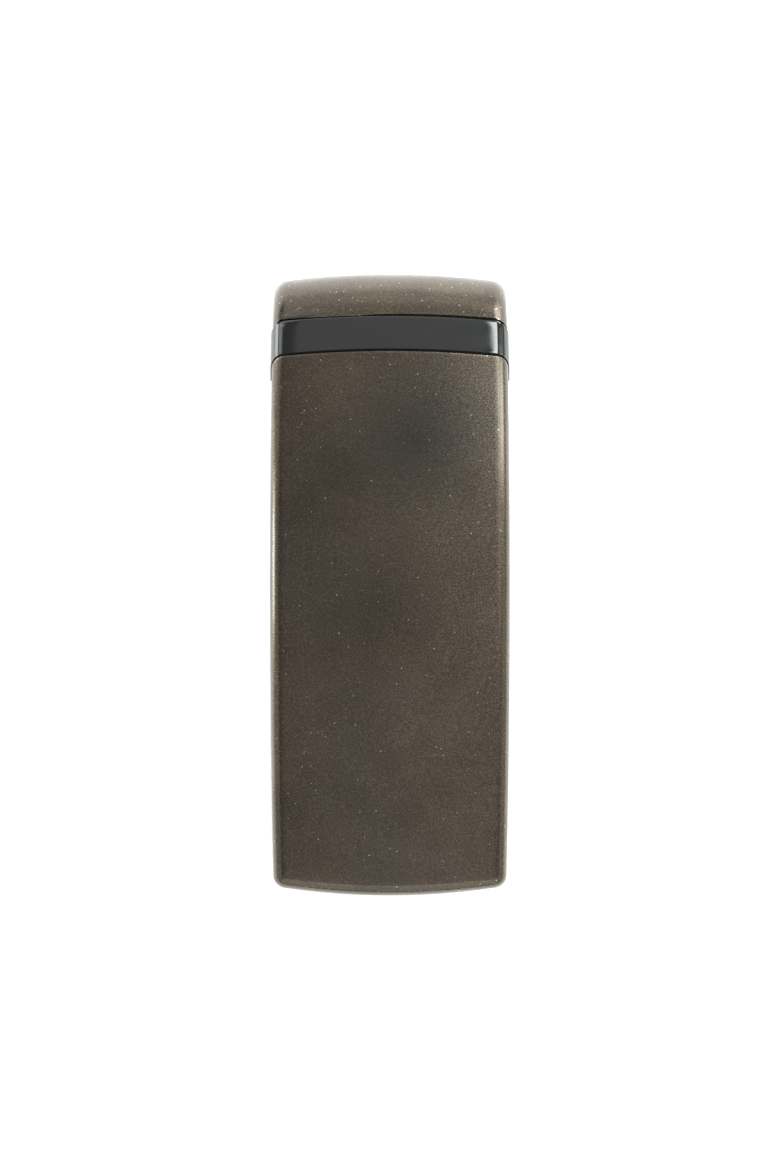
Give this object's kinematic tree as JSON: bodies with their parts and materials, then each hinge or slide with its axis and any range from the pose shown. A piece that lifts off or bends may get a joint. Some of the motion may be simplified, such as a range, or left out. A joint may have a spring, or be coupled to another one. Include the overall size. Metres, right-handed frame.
{
  "type": "money clip",
  "caption": "Sprung money clip: a rounded satin gunmetal front with a gloss black band and rolled cap, and a hinged clamp arm behind it that grips folded notes.",
  "frame": {"origin": "middle of the bounding box's underside, on the surface that the clip lies on", "axes": "+X across the clip to its right as seen from the front, +Y along it towards the hinge end, +Z through its thickness towards the front face"},
  "size_m": [0.02, 0.052, 0.008],
  "materials": {
    "cover_gunmetal": "satin gunmetal plating with a fine sparkle and soft mottling",
    "cap_gunmetal": "satin gunmetal plating with a fine sparkle",
    "band_black": "polished gloss black",
    "arm_gunmetal": "satin gunmetal plating, brushed along its length",
    "plate_steel": "steel brushed along its length",
    "pin_steel": "turned steel",
    "screw_steel": "turned steel",
    "spring_wire": "drawn spring wire"
  },
  "bodies": {
    "front": {"front_cover": "cover_gunmetal", "accent_band": "band_black", "top_cap": "cap_gunmetal", "back_plate": "plate_steel", "hinge_pin": "pin_steel", "torsion_spring_left": "spring_wire", "torsion_spring_right": "spring_wire", "plate_screw_upper_left": "screw_steel", "plate_screw_upper_right": "screw_steel", "plate_screw_lower_left": "screw_steel", "plate_screw_lower_right": "screw_steel"},
    "arm": {"clamp_arm": "arm_gunmetal"}
  },
  "joints": [
    {"name": "arm_hinge", "type": "hinge", "parent": "front", "child": "arm", "pos_m": [0, 0.0209, 0.0031], "axis": [1, 0, 0], "range_deg": [0, 32], "stiffness_Nm_per_rad": 0.15, "springref_deg": -68.75}
  ]
}
